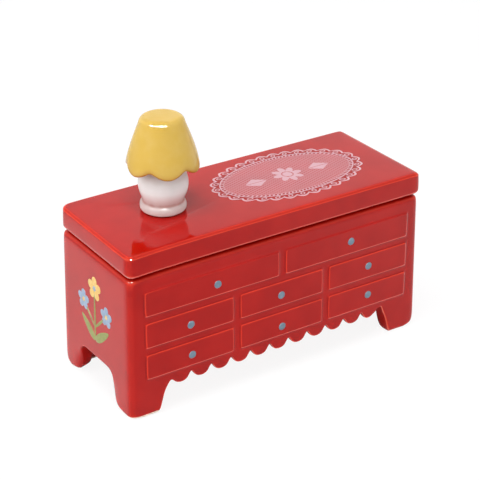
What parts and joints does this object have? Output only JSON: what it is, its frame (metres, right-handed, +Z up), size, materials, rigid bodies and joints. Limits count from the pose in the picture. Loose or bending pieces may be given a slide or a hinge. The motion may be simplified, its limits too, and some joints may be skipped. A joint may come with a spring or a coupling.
{
  "type": "trinket box",
  "caption": "Glazed earthenware trinket box shaped like a low chest with mock drawer fronts in relief, and a lift-off lid that carries a small ceramic table lamp.",
  "frame": {"origin": "middle of the footprint, at the level that the four feet stand on", "axes": "+X along the drawer front to the viewer's right, the drawer front faces -Y, +Z up"},
  "size_m": [0.1318, 0.0523, 0.1039],
  "materials": {
    "red_glaze": "glossy red glaze, a little paler where it thins over edges",
    "white_glaze": "glossy warm white glaze",
    "yellow_glaze": "glossy yellow glaze",
    "dot_enamel": "grey-blue painted enamel, fired on",
    "doily_print": "pale pink lace print, fired on under gloss",
    "flower_print": "yellow, blue and green print, fired on under gloss"
  },
  "bodies": {
    "box": {"box_body": "red_glaze", "drawer_dots": "dot_enamel", "flower_transfer": "flower_print"},
    "lid": {"lid": "red_glaze", "lamp_base": "white_glaze", "lamp_shade": "yellow_glaze", "doily_transfer": "doily_print"}
  },
  "joints": [
    {"name": "lid_lift", "type": "slide", "parent": "box", "child": "lid", "axis": [0, 0, 1], "range_m": [0, 0.08]}
  ]
}
